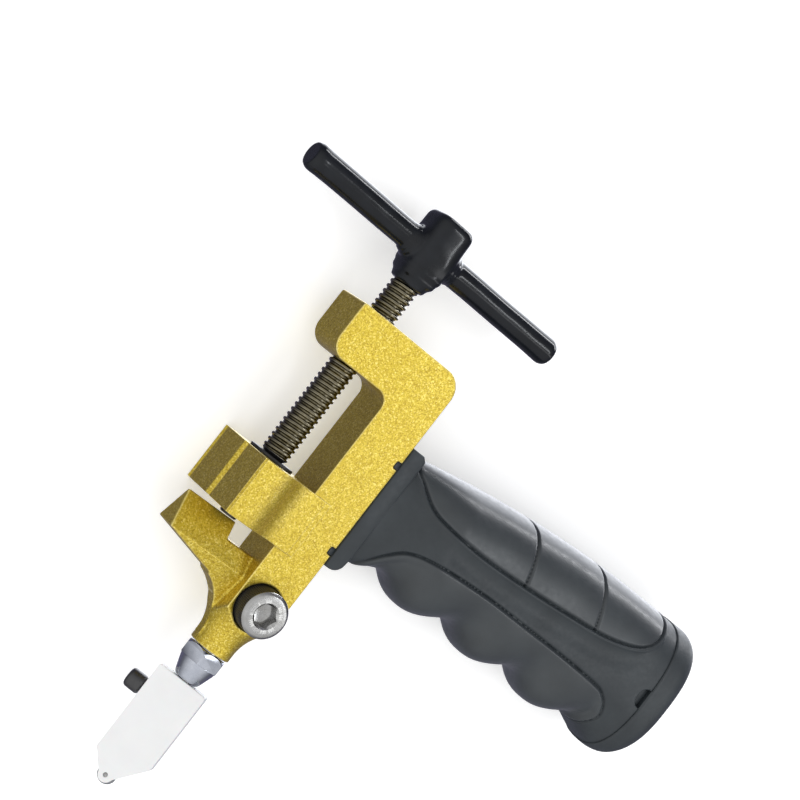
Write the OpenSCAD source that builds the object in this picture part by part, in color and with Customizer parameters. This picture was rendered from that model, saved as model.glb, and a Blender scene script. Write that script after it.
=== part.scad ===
// Hand-held glass and tile cutter with a screw-driven snapping jaw.
// The tool lies on its far side: X runs from the jaws back to the grip, Y runs up the spindle
// towards the T-handle, and Z is the tool's thickness.
// Inside the modules X = 0 is the arm's front face, Y = 0 the breaking ridge and Z = 0 the mid-plane.

/* [Frame] */
// Thickness of the frame casting
frame_t = 15; // [13:0.5:18]
// Width of the upright post, front to back
post_w = 15; // [13:0.5:18]
// Depth of the throat, from the arm's front face to the post
throat = 22.2; // [19:0.1:27]
// Height of the arm
arm_h = 15.2; // [13:0.1:18]
// Daylight under the arm, measured from the breaking ridge
frame_gap = 49.3; // [45:0.1:60]
// Radius of the arm's outer rear corner
corner_r = 5.8; // [4:0.1:7]
// Radius of the arm's lower front corner
nose_r = 5; // [3:0.1:6]
// Radius of the inner corner between arm and post
inner_r = 3.6; // [2:0.1:5]
// Rounding of the frame's other corners
edge_r = 0.8; // [0.4:0.1:1.5]

/* [Breaking ridge] */
// How far the ridge stands forward of the arm's front face
ridge_out = 3.4; // [2:0.1:5]
// Height of the ridge's upper flanks
ridge_h = 10; // [8.5:0.5:12]
// Width across the widest place of the ridge
ridge_w = 9.6; // [8:0.2:12]
// Width of the blunt lower edge
keel_w = 3; // [2:0.2:4]
// Depth of the throat pocket behind the ridge
pocket_h = 4.6; // [4:0.1:6]
// Length of the throat pocket
pocket_w = 9.2; // [8:0.1:10]
// Radius of the hollow under the ridge
hollow_r = 14; // [12:0.5:16]

/* [Barrel] */
// Outer diameter of the barrel
barrel_d = 12; // [11:0.2:13.5]
// How far the barrel's mouth lies below the ridge
barrel_drop = 30.5; // [29:0.5:34]
// Radius that blends the post into the barrel
blend_r = 13; // [11:0.5:15]

/* [Spindle] */
// Diameter over the thread
spindle_d = 8; // [7:0.1:9]
// Pitch of the thread
pitch = 1.6; // [1.5:0.1:2]
// Length of thread that shows above the arm
spindle_up = 10.4; // [8:0.2:16]
// Diameter of the plain spigot in the jaw
spigot_d = 5; // [4.4:0.1:5.4]
// How far the spigot stands out below the jaw
spigot_out = 1.3; // [0.8:0.1:1.5]

/* [Moving jaw] */
// Width of the jaw's front face
jaw_w = 31; // [28:0.5:34]
// Height of the jaw
jaw_h = 16.7; // [14:0.1:18]
// Rest gap between jaw and ridge
jaw_gap = 1.6; // [1.6:0.1:2.5]
// Set-back of the jaw's front face from the arm's front face
jaw_back = 1.5; // [1:0.1:2.5]
// How far the wings reach along the post
wing_reach = 3.4; // [2.5:0.1:5]
// Thickness of the wings
wing_t = 1.7; // [1.4:0.1:2.2]
// Length of the thin lip behind each wing
lip_l = 2.2; // [1.5:0.1:3]
// Thickness of that lip
lip_t = 0.7; // [0.5:0.1:1]
// Depth of the sighting groove in the front face
groove = 1.4; // [0.8:0.1:2]
// Diameter of the thrust washer
washer_d = 13.2; // [12:0.2:14]
// Thickness of the thrust washer
washer_t = 0.9; // [0.6:0.1:1.2]

/* [T-handle] */
// Length of the coated cross bar
bar_l = 90; // [75:1:105]
// How far the bar sits off centre, towards the grip
bar_off = 1.4; // [0:0.2:3]
// Diameter of the coated arms
arm_d = 7.8; // [7:0.1:9]
// Thickness of the vinyl coat
coat_t = 1.2; // [0.8:0.1:1.4]
// Width of the coated hub
hub_w = 12; // [11:0.2:15]
// Height of the coated hub
hub_h = 20.5; // [18:0.5:24]
// Height of the hub's tapered foot
foot_h = 5; // [4:0.2:6]

/* [Clamp screw] */
// Nominal diameter of the socket head screw
screw_d = 8; // [7:0.1:8.6]
// Its place below the breaking ridge
screw_drop = 14.1; // [13:0.1:15]
// How deep the head is let into the casting
sink = 2.1; // [1.5:0.1:2.3]

/* [Cutter] */
// Diameter of the cutter's shank
shank_d = 6; // [5.4:0.1:6.2]
// Diameter of the shank's lower stub, on which the head turns
stub_d = 3.6; // [3.2:0.1:4]
// Hexagon of the collar, across flats
collar_af = 11; // [10:0.2:12]
// Height of the collar's hexagon
collar_h = 4; // [3:0.2:5]
// Height of the collar's cone
cone_h = 5.6; // [4:0.2:7]
// Width of the cutter head
head_w = 15; // [13.5:0.5:17]
// Thickness of the cutter head
head_t = 5.6; // [5.2:0.1:7]
// Length from the head's top to the bottom of the wheel
head_l = 34.1; // [32:0.5:38]
// Turn of the head about its shank
head_turn = -34; // [-60:1:60]
// Diameter of the cutting wheel
wheel_d = 5.4; // [5:0.1:6]
// Thickness of the cutting wheel
wheel_t = 1.2; // [1:0.1:1.5]
// Offset of the wheel towards the lock screw
wheel_off = 1; // [0:0.1:1.5]
// Diameter of the lock screw's knob
knob_d = 5.6; // [5:0.1:6.5]
// Length of that knob
knob_l = 4.8; // [4:0.1:6]
// Distance from the head's top down to the lock screw
knob_drop = 7.9; // [7:0.1:10]

/* [Grip] */
// Length of the grip behind the post
grip_l = 114; // [105:1:130]
// Width of the grip
grip_w = 31; // [28:0.5:34]
// Height of the grip's back above the ridge, at its highest
grip_top = 50; // [47:0.5:54]
// Height of the grip's back above the ridge, at the neck
neck_top = 41.6; // [40:0.2:43]
// Height of the finger side above the ridge
finger_y = 9.3; // [8.5:0.1:10.5]
// Spacing of the finger swells
finger_pitch = 25.4; // [23:0.2:27]
// Depth of the finger swells
finger_depth = 1.7; // [1:0.1:2.2]
// Height of the flange against the post
flange_h = 38.1; // [35:0.1:40]
// Thickness of that flange
flange_t = 5.3; // [4:0.1:6]
// Thickness of the soft pads
pad_t = 1.6; // [1.2:0.1:2]
// Length of the butt cap
cap_l = 11.2; // [10:0.2:14]
// Rounding of the butt's edges
butt_r = 6.5; // [4:0.5:8]
// Diameter of the grip bolt
bolt_d = 6; // [5:0.1:6.4]
// Length of the grip bolt under its head
bolt_l = 35; // [32:0.5:40]
// Diameter of the bolt's access tunnel
tunnel_d = 12.4; // [12.2:0.1:13]

/* [Hidden] */
$fn = 64;

run_fit = 0.05;                          // radial clearance of a running or threaded fit
slide_fit = 0.15;                        // clearance of the jaw on the post
cut = 0.5;                               // overrun of a cutting shape

post_x = throat;                         // front face of the post
back_x = throat + post_w;                // back face of the post
mid_x = throat + post_w / 2;             // axis of the barrel and of the shank
arm_top = frame_gap + arm_h;
spindle_x = 9.8;
barrel_y = -barrel_drop;
screw_y = -screw_drop;

jaw_y = jaw_gap;                         // underside of the moving jaw
jaw_top = jaw_y + jaw_h;
shoulder_y = jaw_top + washer_t + run_fit;
hub_y = arm_top + spindle_up;            // foot of the T-handle's hub
hub_top = hub_y + hub_h;
bar_y = hub_y + 10.2;                    // axis of the cross bar
bar_x = spindle_x + bar_off;             // and its middle
core_w = hub_w - 2 * coat_t;
core_y = hub_y + foot_h - 1;
core_top = hub_top - coat_t;
rod_d = arm_d - 2 * coat_t;
pin_d = 2.5;                             // pin that holds the hub on the spindle
pin_y = core_y + 2.1;
clip_t = 0.8;
clip_d = spigot_d + 4;
clip_y = jaw_y + 0.5;
clip_neck = spigot_d - 1;

screw_head_d = 1.625 * screw_d;          // cap screw: head 13 mm on an 8 mm thread
screw_head_h = screw_d;
seat_z = frame_t / 2 - sink;             // seat of the clamp screw's head
flat_z = 0.8 * shank_d / 2;              // flat on the shank under the clamp screw
shank_top = screw_y + 5;
collar_gap = 0.4;
collar_y = barrel_y - collar_gap;
head_y = collar_y - collar_h - cone_h - 0.3;
wheel_y = head_y - head_l + wheel_d / 2;
cheek_r = wheel_d / 2 - 0.6;
axle_d = 1.2;
slot_w = wheel_t + 0.2;
lock_y = head_y - knob_drop;
lock_d = 3;
shank_end = lock_y - 4;
stub_y = collar_y - collar_h - cone_h + 1; // where the shank steps down to its stub
neck_d = stub_d - 1;                     // groove that the lock screw enters

grip_end = back_x + grip_l;
bolt_y = (grip_top + finger_y) / 2 - 2.6;
cap_x = grip_end - cap_l;
seat_x = back_x + bolt_l - 10;           // seat of the grip bolt's washer
bolt_head_d = 1.6 * bolt_d;
plug_l = 8;                              // plug of the butt cap in the bolt's tunnel
flange_y = 5;
key_d = 1.5;
key_h = 2.2;
key_ys = [flange_y + 2.9, flange_y + 30.8];

x_min = min(-ridge_out, bar_x - bar_l / 2);
x_max = max(grip_end, bar_x + bar_l / 2);
y_min = head_y - head_l;
y_max = hub_top;
z_min = -max(jaw_w, grip_w) / 2;

// The row's origin is under the middle of the whole tool as it lies.
module in_row() {
    translate([-(x_min + x_max) / 2, -(y_min + y_max) / 2, -z_min]) children();
}

// Turns a shape made along +Z so that it runs along +Y, then puts it at x, y.
module up_y(x, y) { translate([x, y, 0]) rotate([-90, 0, 0]) children(); }

// Turns a shape made along +Z so that it runs along +X, then puts it at x, y.
module along_x(x, y) { translate([x, y, 0]) rotate([0, 90, 0]) children(); }

// Puts the cutter head's own frame at its turn about the shank.
module in_head() { translate([mid_x, 0, 0]) rotate([0, head_turn, 0]) children(); }

// Square corner piece outside a quarter circle; cuts or fills a corner of radius r.
module corner(r, turn) {
    rotate(turn) difference() {
        translate([-0.01, -0.01]) square(r + 0.01);
        translate([r, r]) circle(r);
    }
}

// Rectangle w by h centred on the origin with round corners.
module round_rect(w, h, r) {
    square([w - 2 * r, h], center = true);
    square([w, h - 2 * r], center = true);
    for (sx = [-1, 1], sy = [-1, 1])
        translate([sx * (w / 2 - r), sy * (h / 2 - r)]) circle(r);
}

// ---- frame ----

module c_outline() {
    difference() {
        union() {
            translate([0, frame_gap]) square([back_x, arm_h]);
            translate([post_x, barrel_y + 1]) square([post_w, arm_top - barrel_y - 1]);
            translate([post_x, frame_gap]) corner(inner_r, 180);
        }
        translate([back_x, arm_top]) corner(corner_r, 180);
        translate([0, frame_gap]) corner(nose_r, 0);
        translate([0, arm_top]) corner(edge_r, -90);
        for (y = key_ys) translate([back_x - key_d, y]) square([key_d + cut, key_h]);
    }
}

// Everything within reach of the barrel's blend: full post above, round barrel below.
module barrel_limit() {
    up_y(mid_x, 0) rotate_extrude() difference() {
        translate([0, barrel_y]) square([post_w + frame_t, arm_top - barrel_y + 1]);
        translate([barrel_d / 2 + blend_r, barrel_y + 2.5]) circle(blend_r);
        translate([barrel_d / 2, barrel_y - 1]) square([post_w + frame_t, 3.5]);
    }
}

module ridge_outline() {
    difference() {
        polygon([[-ridge_out, 0], [post_x - pocket_w, 0], [post_x - pocket_w, -pocket_h],
            [mid_x, -pocket_h], [mid_x, barrel_y + 2], [post_x, barrel_y + 2],
            [post_x - pocket_w + 1, -ridge_h - 4], [-ridge_out, -ridge_h]]);
        translate([post_x + 1.4 - hollow_r, -ridge_h - 4 - hollow_r + 0.2]) circle(hollow_r, $fn = 96);
    }
}

module lower_jaw() {
    w = ridge_w / 2;
    k = keel_w / 2;
    t = 0.35;
    intersection() {
        translate([0, 0, -frame_t / 2]) linear_extrude(frame_t) ridge_outline();
        translate([-ridge_out - 1, 0, 0]) rotate([90, 0, 90]) linear_extrude(mid_x + ridge_out)
            polygon([[0, -t], [0, t], [-ridge_h, w], [barrel_y + 10, k], [barrel_y, k],
                [barrel_y, -k], [barrel_y + 10, -k], [-ridge_h, -w]]);
    }
}

module frame() {
    color("goldenrod") in_row() difference() {
        union() {
            intersection() {
                translate([0, 0, -frame_t / 2]) linear_extrude(frame_t) c_outline();
                union() {
                    barrel_limit();
                    translate([-1, frame_gap - 1, -frame_t]) cube([mid_x, arm_h + 2, 2 * frame_t]);
                }
            }
            up_y(mid_x, barrel_y) cylinder(h = 8, d = barrel_d);
            lower_jaw();
        }
        up_y(spindle_x, frame_gap - cut) cylinder(h = arm_h + 2 * cut, d = spindle_d + 2 * run_fit);
        up_y(mid_x, barrel_y - cut)
            cylinder(h = shank_top + 1 - barrel_y + cut, d = shank_d + 2 * run_fit);
        translate([mid_x, screw_y, 0]) cylinder(h = frame_t, d = screw_d + 2 * run_fit);
        translate([mid_x, screw_y, seat_z]) cylinder(h = frame_t, d = screw_head_d + 0.6);
        along_x(seat_x - bolt_l - 1, bolt_y) cylinder(h = bolt_l, d = bolt_d);
    }
}

// ---- moving jaw ----

// Half outline of the jaw seen along the spindle: flat front with its grooves, a side that runs
// inward in two equal arcs, then wing and lip.
module jaw_half() {
    w = jaw_w / 2;
    wing_z = frame_t / 2 + slide_fit + wing_t;
    lip_z = frame_t / 2 + slide_fit + lip_t;
    wing_x = post_x + wing_reach;
    side_x = jaw_back + 4;               // the side leaves its full width here
    run = 16;                            // and reaches the wing this far behind
    drop = w - wing_z;
    r = (run * run + drop * drop) / (4 * drop);
    difference() {
        union() {
            translate([jaw_back, 0]) square([wing_x - jaw_back, wing_z]);
            translate([wing_x - 0.01, 0]) square([lip_l + 0.01, lip_z]);
            translate([jaw_back, 0]) square([side_x - jaw_back, w]);
            intersection() {
                translate([side_x - 0.01, 0]) square([run / 2 + 0.01, w]);
                translate([side_x, w - r]) circle(r, $fn = 128);
            }
            difference() {
                translate([side_x + run / 2 - 0.01, 0]) square([run / 2, w - drop / 2]);
                translate([side_x + run, wing_z + r]) circle(r, $fn = 128);
            }
        }
        polygon([[jaw_back - 1, w - 2], [jaw_back, w - 1.6], [jaw_back + 0.8, w - 1.2], [jaw_back, w],
            [jaw_back - 1, w]]);
        polygon([[jaw_back - 1, -1], [jaw_back - 1, groove + 1], [jaw_back, groove],
            [jaw_back + groove, 0], [jaw_back + groove, -1]]);
    }
}

module moving_jaw() {
    color("goldenrod") in_row() difference() {
        up_y(0, jaw_y) linear_extrude(jaw_h) {
            jaw_half();
            mirror([0, 1]) jaw_half();
        }
        translate([post_x - slide_fit, jaw_y - cut, -frame_t / 2 - slide_fit])
            cube([post_w, jaw_h + 2 * cut, frame_t + 2 * slide_fit]);
        up_y(spindle_x, jaw_y - cut) cylinder(h = jaw_h + 2 * cut, d = spigot_d + 2 * run_fit);
        up_y(spindle_x, jaw_y - cut) cylinder(h = clip_y + clip_t + 0.1 - jaw_y + cut, d = clip_d + 0.6);
    }
}

module thrust_washer() {
    color("#262626") in_row() up_y(spindle_x, jaw_top) difference() {
        cylinder(h = washer_t, d = washer_d);
        translate([0, 0, -cut]) cylinder(h = washer_t + 2 * cut, d = spigot_d + 2 * run_fit);
    }
}

// ---- spindle and T-handle ----

// Half profile of the spindle: spigot with its clip neck, ringed thread and plain top.
function thread_rings(y0, n) = [for (i = [0 : n - 1], k = [0 : 3])
    [spindle_d / 2 - (k == 1 || k == 2 ? 0.45 * pitch : 0),
     y0 + i * pitch + [0.15, 0.4, 0.6, 0.85][k] * pitch]];

module spindle() {
    r = spindle_d / 2;
    n = floor((hub_y - shoulder_y - 1.6) / pitch);
    neck = clip_neck / 2;
    color("silver") in_row() difference() {
        up_y(spindle_x, 0) rotate_extrude() polygon(concat(
            [[0, jaw_y - spigot_out], [spigot_d / 2 - 0.3, jaw_y - spigot_out],
             [spigot_d / 2, jaw_y - spigot_out + 0.3], [spigot_d / 2, clip_y], [neck, clip_y],
             [neck, clip_y + clip_t], [spigot_d / 2, clip_y + clip_t], [spigot_d / 2, shoulder_y],
             [r - 0.8, shoulder_y], [r, shoulder_y + 0.8]],
            thread_rings(shoulder_y + 1, n),
            [[r, core_y], [core_w / 3, core_y], [core_w / 3, bar_y - rod_d / 2 - 0.6],
             [0, bar_y - rod_d / 2 - 0.6]]));
        translate([spindle_x, pin_y, -hub_w]) cylinder(h = 2 * hub_w, d = pin_d);
    }
}

module retaining_clip() {
    color("#303030") in_row() up_y(spindle_x, clip_y) difference() {
        cylinder(h = clip_t, d = clip_d);
        translate([0, 0, -cut]) cylinder(h = clip_t + 2 * cut, d = clip_neck);
        translate([-clip_neck / 2, 0, -cut]) cube([clip_neck, clip_d, clip_t + 2 * cut]);
    }
}

module hub_core() {
    color("dimgray") in_row() difference() {
        translate([spindle_x, (core_y + core_top) / 2, 0])
            cube([core_w, core_top - core_y, core_w], center = true);
        up_y(spindle_x, core_y - cut) cylinder(h = bar_y - rod_d / 2 - 0.6 - core_y + cut, r = core_w / 3);
        along_x(spindle_x - hub_w, bar_y) cylinder(h = 2 * hub_w, d = rod_d);
        translate([spindle_x, pin_y, -hub_w]) cylinder(h = 2 * hub_w, d = pin_d);
    }
}

module hub_pin() {
    color("gray") in_row() translate([spindle_x, pin_y, -core_w / 2]) cylinder(h = core_w, d = pin_d);
}

module cross_bar() {
    l = bar_l - 2 * coat_t;
    color("dimgray") in_row() along_x(bar_x - l / 2, bar_y) cylinder(h = l, d = rod_d);
}

// One coated arm or rod: a round bar along X with rounded ends.
module round_bar(l, d, r) {
    along_x(bar_x - l / 2, bar_y) rotate_extrude() {
        square([d / 2 - r, l]);
        translate([0, r]) square([d / 2, l - 2 * r]);
        for (y = [r, l - r]) translate([d / 2 - r, y]) circle(r);
    }
}

module handle_coat() {
    color("#1c1d20") in_row() difference() {
        union() {
            up_y(spindle_x, hub_y + foot_h) linear_extrude(hub_h - foot_h) round_rect(hub_w, hub_w, 2.6);
            intersection() {
                up_y(spindle_x, hub_y) linear_extrude(hub_h) round_rect(hub_w, hub_w, 2.6);
                up_y(spindle_x, hub_y) cylinder(h = hub_h, r1 = spindle_d / 2 + 1, r2 = spindle_d / 2 + 1 + hub_h);
            }
            round_bar(bar_l, arm_d, 1.6);
        }
        translate([spindle_x, (core_y + core_top) / 2, 0])
            cube([core_w, core_top - core_y, core_w], center = true);
        along_x(bar_x - bar_l / 2 + coat_t, bar_y) cylinder(h = bar_l - 2 * coat_t, d = rod_d);
        up_y(spindle_x, hub_y - cut) cylinder(h = hub_h / 2, d = spindle_d);
    }
}

// ---- clamp screw ----

module clamp_screw() {
    rim = 0.6;
    color("silver") in_row() translate([mid_x, screw_y, 0]) difference() {
        rotate_extrude() polygon([[0, flat_z + run_fit], [screw_d / 2 - 0.6, flat_z + run_fit],
            [screw_d / 2, flat_z + run_fit + 0.6], [screw_d / 2, seat_z], [screw_head_d / 2, seat_z],
            [screw_head_d / 2, seat_z + screw_head_h - rim],
            [screw_head_d / 2 - rim, seat_z + screw_head_h], [0, seat_z + screw_head_h]]);
        translate([0, 0, seat_z + screw_head_h / 2])
            cylinder(h = screw_head_h, d = 0.75 * screw_d / cos(30), $fn = 6);
        translate([0, 0, seat_z + screw_head_h - 0.6])
            cylinder(h = 1, d1 = 0.75 * screw_d / cos(30), d2 = 0.75 * screw_d / cos(30) + 2);
    }
}

// ---- cutter ----

module cutter_shank() {
    r = shank_d / 2;
    stub = stub_d / 2;
    color("silver") in_row() difference() {
        up_y(mid_x, 0) rotate_extrude() polygon([[0, shank_end], [stub - 0.4, shank_end],
            [stub, shank_end + 0.4], [stub, lock_y - 1.7], [neck_d / 2, lock_y - 1.7],
            [neck_d / 2, lock_y + 1.7], [stub, lock_y + 1.7], [stub, stub_y], [r, stub_y],
            [r, shank_top - 0.5], [r - 0.5, shank_top], [0, shank_top]]);
        translate([mid_x - r - cut, screw_y - 6, flat_z]) cube([2 * r + 2 * cut, 12, r]);
    }
}

module hex_collar() {
    ac = collar_af / cos(30);
    color("gainsboro") in_row() difference() {
        union() {
            intersection() {
                up_y(mid_x, collar_y - collar_h) cylinder(h = collar_h, d = ac, $fn = 6);
                up_y(mid_x, collar_y - collar_h) cylinder(h = collar_h, d1 = ac + 6, d2 = ac - 0.8);
            }
            up_y(mid_x, collar_y - collar_h - cone_h)
                cylinder(h = cone_h, d1 = shank_d + 0.9, d2 = collar_af);
        }
        up_y(mid_x, collar_y - collar_h - cone_h - cut)
            cylinder(h = collar_h + cone_h + 2 * cut, d = shank_d);
    }
}

// Side outline of the cutter head in its own frame: x across the head, y along the shank.
module head_outline() {
    w = head_w / 2;
    difference() {
        polygon([[-w, wheel_y + 4.6], [-w, head_y], [w, head_y], [w, wheel_y + 7.9],
            [0.97 * cheek_r - wheel_off, wheel_y - 0.3], [-0.97 * cheek_r - wheel_off, wheel_y - 0.3]]);
        for (s = [-1, 1]) translate([s * w, head_y]) corner(edge_r, s < 0 ? -90 : 180);
    }
}

module cutter_head() {
    color("white") in_row() in_head() difference() {
        translate([0, 0, -head_t / 2]) {
            linear_extrude(head_t) head_outline();
            translate([-wheel_off, wheel_y, 0]) cylinder(h = head_t, r = cheek_r);
        }
        up_y(0, shank_end - 0.5) cylinder(h = 40, d = stub_d + 2 * run_fit);
        translate([-wheel_off - wheel_d, wheel_y - wheel_d, -slot_w / 2])
            cube([2 * wheel_d, wheel_d + wheel_d / 2 + 0.4, slot_w]);
        translate([-wheel_off, wheel_y, -head_t]) cylinder(h = 2 * head_t, d = axle_d);
        along_x(-head_w, lock_y) cylinder(h = head_w, d = lock_d + 2 * run_fit);
    }
}

module wheel_axle() {
    color("gray") in_row() in_head() translate([-wheel_off, wheel_y, -head_t / 2])
        cylinder(h = head_t, d = axle_d);
}

module cutting_wheel() {
    r = wheel_d / 2;
    h = wheel_t / 2;
    color("slategray") in_row() in_head() translate([-wheel_off, wheel_y, 0]) rotate_extrude()
        polygon([[axle_d / 2 + run_fit, -h], [r - 0.9 * h, -h], [r, 0], [r - 0.9 * h, h],
            [axle_d / 2 + run_fit, h]]);
}

module head_lock_screw() {
    x0 = -head_w / 2 - 0.15;
    rim = 0.5;
    color("#202020") in_row() in_head() difference() {
        translate([x0, lock_y, 0]) rotate([0, -90, 0]) rotate_extrude() polygon([
            [0, x0 + neck_d / 2 + run_fit], [lock_d / 2, x0 + neck_d / 2 + run_fit], [lock_d / 2, 0],
            [knob_d / 2 - rim, 0], [knob_d / 2, rim], [knob_d / 2, knob_l - rim],
            [knob_d / 2 - rim, knob_l], [0, knob_l]]);
        translate([x0 - knob_l - cut, lock_y - 0.4, -knob_d]) cube([1 + cut, 0.8, 2 * knob_d]);
    }
}

// ---- grip ----

function ease(t) = let (u = max(0, min(1, t))) u * u * (3 - 2 * u);

// How far the butt's rounding draws the skin in at x.
function butt_in(x) = let (u = max(0, (x - grip_end + butt_r) / butt_r))
    butt_r * (1 - sqrt(max(0, 1 - u * u)));

function back_of(x) = let (u = min(1, (x - back_x - flange_t) / 78))
    neck_top + (grip_top - neck_top) * (1 - pow(1 - max(0, u), 1.8));
function belly_of(x) = finger_y - finger_depth * cos(360 * (x - back_x - 28.9) / finger_pitch);
function side_of(x) = frame_t / 2 + 0.6 + (grip_w / 2 + 0.5 - frame_t / 2 - 0.6)
    * ease((x - back_x - flange_t + 2) / 22);

// One closed ring of the grip at x, drawn in by the given inset.
function ring(x, inset) = let (
        hi = back_of(x), lo = belly_of(x), mid = (hi + lo) / 2,
        h = (hi - lo) / 2 - butt_in(x) - inset, w = side_of(x) - butt_in(x), lim = grip_w / 2)
    [for (i = [0 : 27]) let (a = 360 * i / 28, c = cos(a), s = sin(a))
        [x, mid + h * sign(s) * pow(abs(s), 0.77),
         max(-lim, min(lim, w * sign(c) * pow(abs(c), 0.77))) * (1 - inset / (grip_w / 2))]];

// Skin through the rings at the given stations.
module loft(xs, inset) {
    n = 28;
    points = [for (x = xs) each ring(x, inset)];
    walls = [for (j = [0 : len(xs) - 2], i = [0 : n - 1])
        let (a = j * n + i, b = j * n + (i + 1) % n) each [[a, b, b + n], [a, b + n, a + n]]];
    polyhedron(points, concat(walls, [[for (i = [n - 1 : -1 : 0]) i]],
        [[for (i = [0 : n - 1]) (len(xs) - 1) * n + i]]));
}

neck_x = back_x + flange_t;
body_xs = [for (i = [0 : 30]) neck_x - 1 + (cap_x - neck_x + 1) * i / 30];
butt_xs = concat([cap_x - 3, cap_x, cap_x + 2.4],
    [for (i = [0 : 7]) grip_end - butt_r + butt_r * sin(90 * i / 7)]);

// Side view of the palm pad, on the grip's back.
module palm_area() {
    x0 = neck_x + 3;
    x1 = cap_x - 5;
    difference() {
        translate([x0, grip_top - 15]) square([x1 - x0, 30]);
        translate([x0 - 2, grip_top - 20]) circle(12);
        translate([x1 + 2, grip_top - 20]) circle(13);
    }
}

// The two grooves across the palm pad, half as deep as the pad is thick.
module palm_grooves() {
    difference() {
        for (x = [neck_x + 39.8, neck_x + 66.8])
            translate([x, grip_top - 18, 0]) rotate(12) cube([0.8, 40, 2 * grip_w], center = true);
        loft(body_xs, pad_t / 2);
    }
}

// Side view of the finger pad, along the belly.
module finger_area() {
    x0 = neck_x + 5;
    x1 = cap_x - 7.5;
    difference() {
        translate([x0, 0]) square([x1 - x0, finger_y + 14]);
        translate([x0, finger_y + 14]) corner(8, -90);
        translate([x1, finger_y + 14]) corner(6, 180);
    }
}

module grip_core() {
    color("#33383d") in_row() {
        difference() {
            union() {
                difference() {
                    loft(body_xs, 0);
                    difference() {
                        translate([0, 0, -grip_w]) linear_extrude(2 * grip_w) {
                            palm_area();
                            finger_area();
                        }
                        loft(body_xs, pad_t);
                    }
                }
                translate([back_x, flange_y, -frame_t / 2 - 0.5]) cube([flange_t, flange_h, frame_t + 1]);
                for (y = key_ys) translate([back_x - key_d + 0.1, y + 0.1, -frame_t / 2])
                    cube([key_d, key_h - 0.2, frame_t]);
            }
            along_x(back_x - cut, bolt_y) cylinder(h = grip_l, d = bolt_d + 0.4);
            along_x(seat_x, bolt_y) cylinder(h = grip_l, d = tunnel_d);
            translate([cap_x, bolt_y + 1, grip_w / 2 - 1.2]) cylinder(h = 5, r = 2.8);
        }
    }
}

module pad(area_xs) {
    intersection() {
        translate([0, 0, -grip_w]) linear_extrude(2 * grip_w) children();
        difference() {
            loft(area_xs, 0);
            loft(area_xs, pad_t);
        }
    }
}

module palm_pad() {
    color("#2b3035") in_row() difference() {
        pad(body_xs) palm_area();
        palm_grooves();
    }
}

module finger_pad() { color("#2b3035") in_row() pad(body_xs) finger_area(); }

module butt_cap() {
    color("#33383d") in_row() {
        difference() {
            loft(butt_xs, 0);
            translate([cap_x - 9.9, 0, -grip_w]) cube([10, 2 * grip_top, 2 * grip_w]);
        }
        along_x(cap_x - plug_l, bolt_y) cylinder(h = plug_l + 3, d = tunnel_d - 0.1);
    }
}

module grip_bolt() {
    r = bolt_d / 2;
    color("silver") in_row() along_x(0, bolt_y) difference() {
        rotate_extrude() polygon([[0, seat_x - bolt_l], [r - 0.6, seat_x - bolt_l], [r, seat_x - bolt_l + 0.6],
            [r, seat_x + 1.2], [bolt_head_d / 2, seat_x + 1.2], [bolt_head_d / 2, seat_x + 1.2 + bolt_d],
            [0, seat_x + 1.2 + bolt_d]]);
        translate([0, 0, seat_x + 1.2 + bolt_d / 2]) cylinder(h = bolt_d, d = 0.8 * bolt_d / cos(30), $fn = 6);
    }
}

module grip_bolt_washer() {
    color("silver") in_row() along_x(seat_x, bolt_y) difference() {
        cylinder(h = 1.2, d = tunnel_d - 0.4);
        translate([0, 0, -cut]) cylinder(h = 2 + cut, d = bolt_d + 0.4);
    }
}

frame();
moving_jaw();
thrust_washer();
spindle();
retaining_clip();
hub_core();
hub_pin();
cross_bar();
handle_coat();
clamp_screw();
cutter_shank();
hex_collar();
cutter_head();
wheel_axle();
cutting_wheel();
head_lock_screw();
grip_core();
palm_pad();
finger_pad();
butt_cap();
grip_bolt();
grip_bolt_washer();
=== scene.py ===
"""Looks for the glass cutter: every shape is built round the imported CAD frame, in metres."""

import math

import bmesh
import bpy
import numpy as np
from mathutils import Matrix, Vector


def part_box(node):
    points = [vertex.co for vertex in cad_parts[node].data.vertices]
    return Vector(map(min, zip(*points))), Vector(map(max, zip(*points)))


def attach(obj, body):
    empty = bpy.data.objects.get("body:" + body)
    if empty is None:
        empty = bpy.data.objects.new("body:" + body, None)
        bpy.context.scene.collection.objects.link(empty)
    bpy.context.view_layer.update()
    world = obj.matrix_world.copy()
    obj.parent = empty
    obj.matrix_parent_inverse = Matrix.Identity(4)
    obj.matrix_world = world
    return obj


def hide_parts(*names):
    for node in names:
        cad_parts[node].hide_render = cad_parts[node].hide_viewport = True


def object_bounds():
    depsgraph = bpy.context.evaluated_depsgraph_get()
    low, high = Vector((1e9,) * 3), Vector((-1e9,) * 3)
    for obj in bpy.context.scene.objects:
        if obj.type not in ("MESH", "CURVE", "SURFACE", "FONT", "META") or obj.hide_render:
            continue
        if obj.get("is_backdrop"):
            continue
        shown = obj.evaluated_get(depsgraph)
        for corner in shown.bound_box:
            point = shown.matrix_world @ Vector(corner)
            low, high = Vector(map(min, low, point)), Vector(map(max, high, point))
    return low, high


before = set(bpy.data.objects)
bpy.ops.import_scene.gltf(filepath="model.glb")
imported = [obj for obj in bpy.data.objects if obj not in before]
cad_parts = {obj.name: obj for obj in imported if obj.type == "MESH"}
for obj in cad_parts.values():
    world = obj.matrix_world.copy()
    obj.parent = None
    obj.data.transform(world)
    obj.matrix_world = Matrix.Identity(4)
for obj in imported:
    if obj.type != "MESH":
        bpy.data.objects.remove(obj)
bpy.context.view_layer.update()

MM = 0.001

# ---- places taken from the frame ----


def mid(node):
    low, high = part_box(node)
    return (low + high) / 2


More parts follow.
